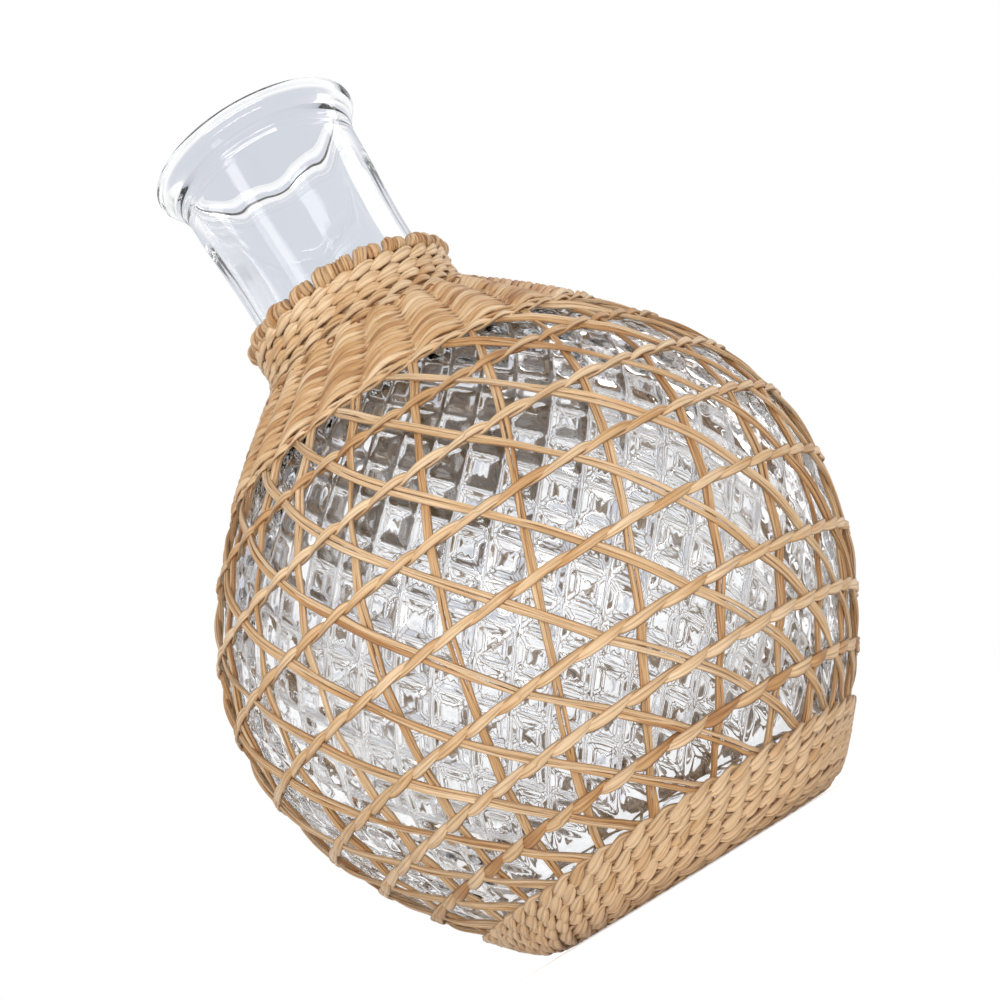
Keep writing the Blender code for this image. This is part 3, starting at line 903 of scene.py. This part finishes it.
# %% Stakes
AT_ROW = 1.4 * MM
AT_EDGE = 1.0 * MM
AT_END = 0.8 * MM
A_OVER_B = 1.8 * MM
B_UNDER_A = 0.75 * MM
CROSSING = A_TO_B / (A_STEP + B_STEP)
A_STRAND = 1.35 * MM
B_STRAND = 1.2 * MM
STAKE_THICKNESS = 1.05 * MM
STAKE_TUCK = 0.45 * STAKE_THICKNESS
STAKE_FAN = 0.15 * MM
STAKE_PLACES = 170
FIBRE_WIDTH = 0.75 * MM
FIBRE_THICKNESS = 0.4 * MM
FIBRE_LIFT = 0.4 * MM


def eased(place, places, values):
    """Values between chosen places, level at each of them."""
    number = np.clip(np.searchsorted(places, place, side="right") - 1, 0, len(places) - 2)
    places, values = np.array(places), np.array(values)
    share = np.clip((place - places[number]) / (places[number + 1] - places[number]), 0, 1)
    share = (1 - np.cos(math.pi * share)) / 2
    return values[number] + (values[number + 1] - values[number]) * share


def stake_lifts(at_crossing):
    """Rows down from the shoulder, and a stake's lift at each."""
    places, lifts = [-1], [AT_END]
    for row in range(ROWS + 1):
        places += [row, row + CROSSING]
        lifts += [AT_ROW if row else AT_EDGE, at_crossing]
    return places + [ROWS + 1, ROWS + 2], lifts + [AT_EDGE, AT_END]


def stakes(letter, azimuth_of, strand_width, at_crossing, seed, tone_middle):
    """One set. Slow waves, which start elsewhere on each stake, turn the pair, fan it out and tone it."""
    weave = Weave(seed)
    downs = np.linspace(-0.9, ROWS + 1.8, STAKE_PLACES)
    lift = eased(downs, *stake_lifts(at_crossing))
    for stake in range(STAKES):
        azimuth = azimuth_of(stake, downs)
        path, normals = LINE.place(azimuth, net_along(azimuth, downs), lift)
        slow = weave.chance.uniform(0, ROUND, 6)
        twist = 0.7 * np.sin(downs * 1.15 + slow[0]) + 0.35 * np.sin(downs * 2.9 + slow[1])
        fan = STAKE_FAN * np.clip(np.sin(downs * 1.7 + slow[2]), 0, 1) ** 2
        for hand in (-1, 1):
            across = hand * (strand_width * 0.5 * np.cos(twist) + fan)
            tuck = hand * STAKE_TUCK * np.sin(twist)
            width = strand_width * (1 + 0.16 * np.sin(downs * 2.3 + slow[3 + hand]))
            tone = weave.tone(tone_middle, 0.13) + 0.12 * np.sin(downs * 1.9 + slow[5])
            tilt = 0.3 * twist + 0.12 * hand
            beside = path + normals * tuck[:, None]
            weave.strand(beside, normals, width, STAKE_THICKNESS, tone=tone, tilt=tilt, across=across)
        wander = 0.6 * np.sin(downs * 1.6 + slow[0]) + 0.2 * np.sin(downs * 4.3 + slow[4])
        tone = weave.tone(tone_middle + 0.12, 0.15)
        above = path + normals * FIBRE_LIFT
        weave.strand(above, normals, FIBRE_WIDTH, FIBRE_THICKNESS, tone=tone, across=strand_width * wander)
    nodes = [f"stake_{letter}_{number + 1:02d}" for number in range(STAKES)]
    return weave.piece(f"stakes_{letter}", nodes)


stakes("a", a_azimuth, A_STRAND, A_OVER_B, seed=11, tone_middle=0.6)
stakes("b", b_azimuth, B_STRAND, B_UNDER_A, seed=12, tone_middle=0.45)

# %% [markdown]
# In twining, two strands run side by side and turn half way round each other at every stake, so one
# passes over what the other passes under. Each turn could be modelled by itself, but a phase says it
# all: outside at 0, on the shoulder side at a quarter, against the glass at a half. Lift, height and
# tilt follow from it as sine and cosine.

# %% Twining
STEP = 1.1 * MM


def turn_phase(azimuth, crossings):
    """Half a turn from each crossing to the next, starting at 0 on the first."""
    whole = np.concatenate([crossings - ROUND, crossings, crossings + ROUND])
    count = len(crossings)
    phases = math.pi * (np.arange(3 * count) - count)
    return np.interp(azimuth, whole, phases)


def twined_pair(
    weave, along_of, crossings, width, thickness, middle, swing, rise, lean,
    leaf=0.15, flat=0.0, bulge=0.0, arch=0.0, tones=None,
):
    """Two strands twined round the vase. along_of gives the row's place on the glass line. They swing out
    and in about the lift middle, and rise and fall along the glass. lean tilts a strand as it rises,
    leaf widens it outside, and flat keeps it outside longer. bulge lifts both over each crossing, and
    arch bows the outer one up."""
    radius = np.interp(along_of(0.0), LINE.along, LINE.radius) + middle
    count = int(ROUND * radius / STEP)
    azimuth = crossings[0] + azimuths(count)
    for strand in (0, 1):
        phase = turn_phase(azimuth, crossings) + math.pi * strand
        square = np.tanh(1.5 * np.cos(phase)) / math.tanh(1.5)
        over = flat * square + (1 - flat) * np.cos(phase)
        triangle = np.arcsin(np.sin(phase)) * 2 / math.pi
        above = flat * triangle + (1 - flat) * np.sin(phase) + arch * np.cos(phase)
        slow = weave.chance.uniform(0, ROUND, 4)
        sway = 0.12 * np.sin(5 * azimuth + slow[0]) + 0.12 * np.sin(11 * azimuth + slow[1])
        along = along_of(azimuth) + rise * (above + sway)
        lift = middle + swing * over + bulge * np.abs(np.cos(phase))
        path, normals = LINE.place(azimuth, along, lift)
        tone = weave.tone() if tones is None else tones[strand]
        tone = tone + 0.1 * np.sin(7 * azimuth + slow[2]) + 0.08 * np.sin(17 * azimuth + slow[3])
        widths = width * (1 + leaf * over + 0.1 * sway)
        weave.strand(path, normals, widths, thickness, tone=tone, tilt=-lean * above, closed=True)


print("step along a twined strand in mm:", STEP / MM)

# %% [markdown]
# Seven open rows cross the belly. A row could be twined at even steps, but its strands change over
# exactly at the stakes, so the crossings come from the stakes' own places. The lower rows are broader.

# %% Open rows
LAST_SLIM_ROW = 4


def row_crossings(row):
    """The azimuths of all the stakes at a row, in order, and starting with one of the A set."""
    places = [azimuth_of(stake, row) for stake in range(STAKES) for azimuth_of in (a_azimuth, b_azimuth)]
    first = min(places)
    crossings = np.sort(np.mod(np.array(places) - first, ROUND)) + first
    starts_on_b = np.isclose(np.mod(first - b_azimuth(np.arange(STAKES), row), ROUND), 0).any()
    crossings = np.roll(crossings, -1) if starts_on_b else crossings
    return np.where(crossings < crossings[0], crossings + ROUND, crossings)


def net_rows():
    for row in range(1, ROWS + 1):
        weave = Weave(20 + row)
        broader = max(0, row - LAST_SLIM_ROW)
        twined_pair(
            weave, lambda azimuth: net_along(azimuth, row), row_crossings(row), (2.0 + 0.16 * broader) * MM,
            thickness=0.95 * MM, middle=1.43 * MM, swing=0.9 * MM, rise=0.5 * MM, lean=0.4,
            leaf=0.2 + 0.05 * broader, flat=0.8,
        )
        weave.piece(f"row_{row}", [f"twined_row_{row}"])


net_rows()

# %% [markdown]
# Where the weave closes, the stakes run on beneath it. They could be left out, since little of them
# shows, but then glass would glint through every slit, so plain flat strands fill the gaps.

# %% Stakes under the close weave
COLUMNS = 24
UNDER_STAKES = 3 * COLUMNS
UNDER_THICKNESS = 0.6 * MM


def under_stakes(weave, turn, low, high, width, lift, slant=0.0, narrowing=0.45):
    """Flat strands under close rows, from one place on the glass line to another."""
    share = np.linspace(0, 1, 24)
    for azimuth in azimuths(UNDER_STAKES, turn):
        path, normals = LINE.place(azimuth + slant * share, low + (high - low) * share, lift)
        widths = width * (1 - narrowing * share)
        tilt = weave.chance.uniform(-0.15, 0.15)
        tone = weave.chance.uniform(0.7, 1.0)
        weave.strand(path, normals, widths, UNDER_THICKNESS, tone=tone, tilt=tilt)


print("stakes under each close weave:", UNDER_STAKES)

# %% [markdown]
# Over the shoulder fourteen fine rows are twined so close that hardly any glass shows. Their strands
# bow up over each group of stakes, and each row starts a little further round, so the groups slant. A
# coarser row borders the weave below. It could be one embossed skin, but the strands' own edges and
# shadows are what makes it read as woven.

# %% Shoulder weave
COLLAR_FOOT = NECK_FOOT - 3.75 * MM
SHOULDER_ROWS = 14
SHOULDER_DRIFT = 0.047


def shoulder():
    weave = Weave(41, FINE_SECTION)
    foot = LINE.at_height(SHOULDER_FOOT)
    low = foot + 1.6 * MM
    high = LINE.at_height(COLLAR_FOOT) - 3 * MM
    pitch = (high - low) / SHOULDER_ROWS
    under_stakes(weave, 0.1, low, high, 4.2 * MM, 0.65 * MM, slant=0.15)
    for row in range(SHOULDER_ROWS):
        share = (row + 0.5) / SHOULDER_ROWS
        middle_along = low + pitch * (row + 0.5)
        middle = (1.1 + 1.1 * share**2) * MM
        drift = SHOULDER_DRIFT * row + weave.chance.uniform(-0.05, 0.05)
        tones = weave.chance.normal(0.5, 0.14, 2)

        def along_of(azimuth):
            return middle_along + 0.14 * pitch * np.sin(3 * azimuth + 0.7 * row)

        twined_pair(
            weave, along_of, azimuths(COLUMNS, drift), 0.9 * pitch,
            thickness=1.3 * MM, middle=middle, swing=0.45 * MM, rise=0.45 * pitch, lean=0.3,
            bulge=1.2 * MM, arch=1.0, tones=tones,
        )
    twined_pair(
        weave, lambda azimuth: foot + 0.4 * MM, azimuths(2 * COLUMNS, 0.2), 1.9 * MM,
        thickness=0.8 * MM, middle=1.5 * MM, swing=0.7 * MM, rise=0.6 * MM, lean=0.5,
    )
    return weave.piece("shoulder", ["shoulder_weave"])


shoulder()

# %% [markdown]
# The collar's rim is made of the stakes' own ends, each bent over its neighbours and tucked away, which
# leaves a knobbly edge of small loops. It could be one more rope, but its knobs are what the eye sees
# against the glass, so each loop is laid from three strands. Under the collar each pair of stakes was
# cut off, and its end is left showing.

# %% The collar's rim and cut ends
RIM_KNOBS = 44
# A knob's way round the rim, from outside over the top to the inside, and how large it is
KNOB_TURNS = np.radians(np.linspace(-70, 215, 20))
KNOB_MIDDLE = 1.2 * MM
KNOB_RISE = 1.6 * MM
KNOB_LIFT = 3.2 * MM
KNOB_DEPTH = 1.9 * MM
CUT_ENDS = 30
# Below 2 the loop of a cut end has corners
CUT_POWER = 1.2
CUT_WIDTH, CUT_HEIGHT = 1.2, 0.75
CUT_LIFT = 3.4 * MM


def rim_knobs(weave, foot):
    """Each stake's end goes over the rim from outside, slanting, and is tucked away on the inside."""
    pitch = ROUND / RIM_KNOBS
    count = len(KNOB_TURNS)
    sine, cosine = np.sin(KNOB_TURNS), np.cos(KNOB_TURNS)
    upward = np.tile([0.0, 0.0, 1.0], (count, 1))
    for knob in range(RIM_KNOBS):
        size = weave.chance.uniform(0.75, 1.4)
        reach = pitch * weave.chance.uniform(-0.3, 1.3)
        start = ROUND * (knob + weave.chance.uniform(-0.2, 0.2)) / RIM_KNOBS
        for part in np.linspace(-0.5, 0.5, 3):
            crown = 1.1 - 0.8 * part**2
            height = size * weave.chance.uniform(0.85, 1.1) * crown
            azimuth = start + reach * np.linspace(0, 1, count) + pitch * 0.62 * part
            along = foot + KNOB_MIDDLE + KNOB_RISE * height * sine
            path, normals = LINE.place(azimuth, along, KNOB_LIFT + KNOB_DEPTH * height * cosine * crown)
            facing = normals * cosine[:, None] + upward * sine[:, None]
            width = weave.chance.uniform(1.4, 2.0) * MM
            weave.strand(path, facing, width, 1.5 * MM, tilt=1.2 * part)


def cut_ends(weave, along):
    """Each cut end is a thin dark loop round a paler core."""
    turns = azimuths(16)
    powers = np.abs(np.cos(turns)) ** CUT_POWER + np.abs(np.sin(turns)) ** CUT_POWER
    corner = powers ** (-1 / CUT_POWER)
    for end in range(CUT_ENDS):
        azimuth = ROUND * (end + weave.chance.uniform(-0.25, 0.25)) / CUT_ENDS
        size = weave.chance.uniform(0.9, 1.25) * MM
        spot = along + weave.chance.uniform(-0.6, 0.6) * MM
        middle = LINE.place(azimuth, spot, CUT_LIFT)[0][0]
        level = np.array([math.cos(azimuth), math.sin(azimuth), 0.0])
        axis = np.array([0.9 * math.sin(azimuth), -0.9 * math.cos(azimuth), -0.4])
        upright = np.cross(axis, level)
        sideways = level * np.cos(turns)[:, None] * CUT_WIDTH
        radial = sideways + upright * np.sin(turns)[:, None] * CUT_HEIGHT
        path = middle + radial * (corner * size)[:, None]
        tone = weave.chance.uniform(-0.3, 0.0)
        weave.strand(path, unit(radial), 1.4 * MM, 0.4 * MM, tone=tone, closed=True)
        core = middle + axis * np.linspace(-1.2, 0.65, 6)[:, None] * MM
        weave.strand(core, np.tile(upright, (6, 1)), 1.6 * size, 0.9 * size, tone=0.5)


print("knobs on the rim:", RIM_KNOBS, "cut ends:", CUT_ENDS)

# %% [markdown]
# The collar grips the neck with five rows of thick, leaf-shaped strands. They could all keep the same
# distance, but they crowd where the glass bends in, as real rows do.

# %% Collar
COLLAR_STAKES = 28
# Each row's distance past the collar's foot, and its lift
COLLAR_PLACES = [-2.0 * MM, 3.4 * MM, 8.1 * MM, 12.6 * MM, 16.2 * MM]
COLLAR_LIFTS = [3.0 * MM, 3.0 * MM, 3.4 * MM, 3.8 * MM, 4.0 * MM]
RIM_PLACE = 18.4 * MM


def collar():
    weave = Weave(51)
    foot = LINE.at_height(COLLAR_FOOT)
    low, high = foot - 3 * MM, foot + RIM_PLACE
    under_stakes(weave, 0.0, low, high, 3.2 * MM, 1.6 * MM, slant=0.1, narrowing=0)
    for row, (place, middle) in enumerate(zip(COLLAR_PLACES, COLLAR_LIFTS)):

        def along_of(azimuth):
            return foot + place + 0.3 * MM * np.sin(2 * azimuth + row)

        drift = weave.chance.uniform(-0.2, 0.2)
        tones = weave.chance.normal(0.64, 0.15, 2)
        twined_pair(
            weave, along_of, azimuths(COLLAR_STAKES, drift), 2.6 * MM,
            thickness=1.15 * MM, middle=middle, swing=0.8 * MM, rise=0.85 * MM, lean=0.45,
            leaf=0.3, flat=0.7, tones=tones,
        )
    rim_knobs(weave, foot + RIM_PLACE)
    cut_ends(weave, foot - 4.6 * MM)
    return weave.piece("collar_weave", ["collar"])


collar()

# %% [markdown]
# Round the foot the weave closes again in dense rows of broad slanting strands, and the lowest ones
# curl under the heel to meet the mat. A plain belt would be quicker, but it is the same twining as
# above, with wider strands set closer, so the same function makes it.

# %% Base band
# How often the strands of each row cross, from the heel up
BAND_CROSSINGS = (36, 42, 52, 60, 60, 60)
BAND_ROWS = len(BAND_CROSSINGS)
BAND_LIFT = 1.9 * MM
BAND_SWING = 0.65 * MM
# The lowest row lies lower, because it curls under the heel
HEEL_LIFT = 1.5 * MM
HEEL_SWING = 0.5 * MM
BAND_GAP = 0.6 * MM


def base_band():
    weave = Weave(61)
    low = FOOT_RADIUS + 2.5 * MM
    high = LINE.at_height(BAND_TOP) - BAND_GAP
    pitch = (high - low) / BAND_ROWS
    under_stakes(weave, 0.3, low + 1 * MM, high, 3.6 * MM, 0.8 * MM, slant=-0.1)
    for row in range(BAND_ROWS):
        share = (row + 0.5) / BAND_ROWS

        def along_of(azimuth):
            top = net_along(azimuth, ROWS + 1) - BAND_GAP
            return low + (top - low) * share + 0.25 * MM * np.sin(3 * azimuth + 2 * row)

        drift = 0.11 * row + weave.chance.uniform(-0.2, 0.2)
        twined_pair(
            weave, along_of, azimuths(BAND_CROSSINGS[row], drift), 0.76 * pitch,
            thickness=1.1 * MM, middle=BAND_LIFT if row else HEEL_LIFT,
            swing=BAND_SWING if row else HEEL_SWING, rise=0.47 * pitch, lean=0.4, leaf=0.35, flat=0.8,
            tones=weave.chance.normal(1.0 - 0.04 * row, 0.12, 2),
        )
    return weave.piece("foot_band", ["base_band"])


base_band()

# %% [markdown]
# The vase stands on a round mat, twined in rings over spokes that run out from the middle. It isn't
# seen in most views, but a buyer turns a vase over, so it is woven too, and it lies flat on the floor.

# %% Base mat
MAT_RINGS = 13
MAT_INNER = 4 * MM
MAT_OUTER = FOOT_RADIUS + 1.6 * MM
MAT_SPOKES = 6
SPOKE_PLACES = 12


def spokes_at(ring):
    """The spokes double twice on their way out."""
    return 12 if ring < 4 else 24 if ring < 9 else 48


def base_mat():
    weave = Weave(71)
    pitch = (MAT_OUTER - MAT_INNER) / MAT_RINGS
    for ring in range(MAT_RINGS):
        middle_along = MAT_INNER + pitch * (ring + 0.5)
        crossings = azimuths(spokes_at(ring), weave.chance.uniform(-0.2, 0.2))
        twined_pair(
            weave, lambda azimuth: middle_along, crossings, 1.05 * pitch,
            thickness=0.8 * MM, middle=1.5 * MM, swing=0.55 * MM, rise=0.25 * pitch, lean=0.4,
        )
    distance = np.linspace(-MAT_INNER * 2, MAT_INNER * 2, SPOKE_PLACES)
    downward = np.tile([0.0, 0.0, -1.0], (SPOKE_PLACES, 1))
    for spoke in range(MAT_SPOKES):
        azimuth = math.pi * spoke / MAT_SPOKES
        level = np.full(SPOKE_PLACES, MAT_THICKNESS / 2 + 0.25 * MM * math.cos(math.pi * spoke))
        path = np.column_stack([distance * math.sin(azimuth), distance * math.cos(azimuth), level])
        weave.strand(path, downward, 2.6 * MM, 0.8 * MM)
    return weave.piece("foot_mat", ["base_mat"])


base_mat()
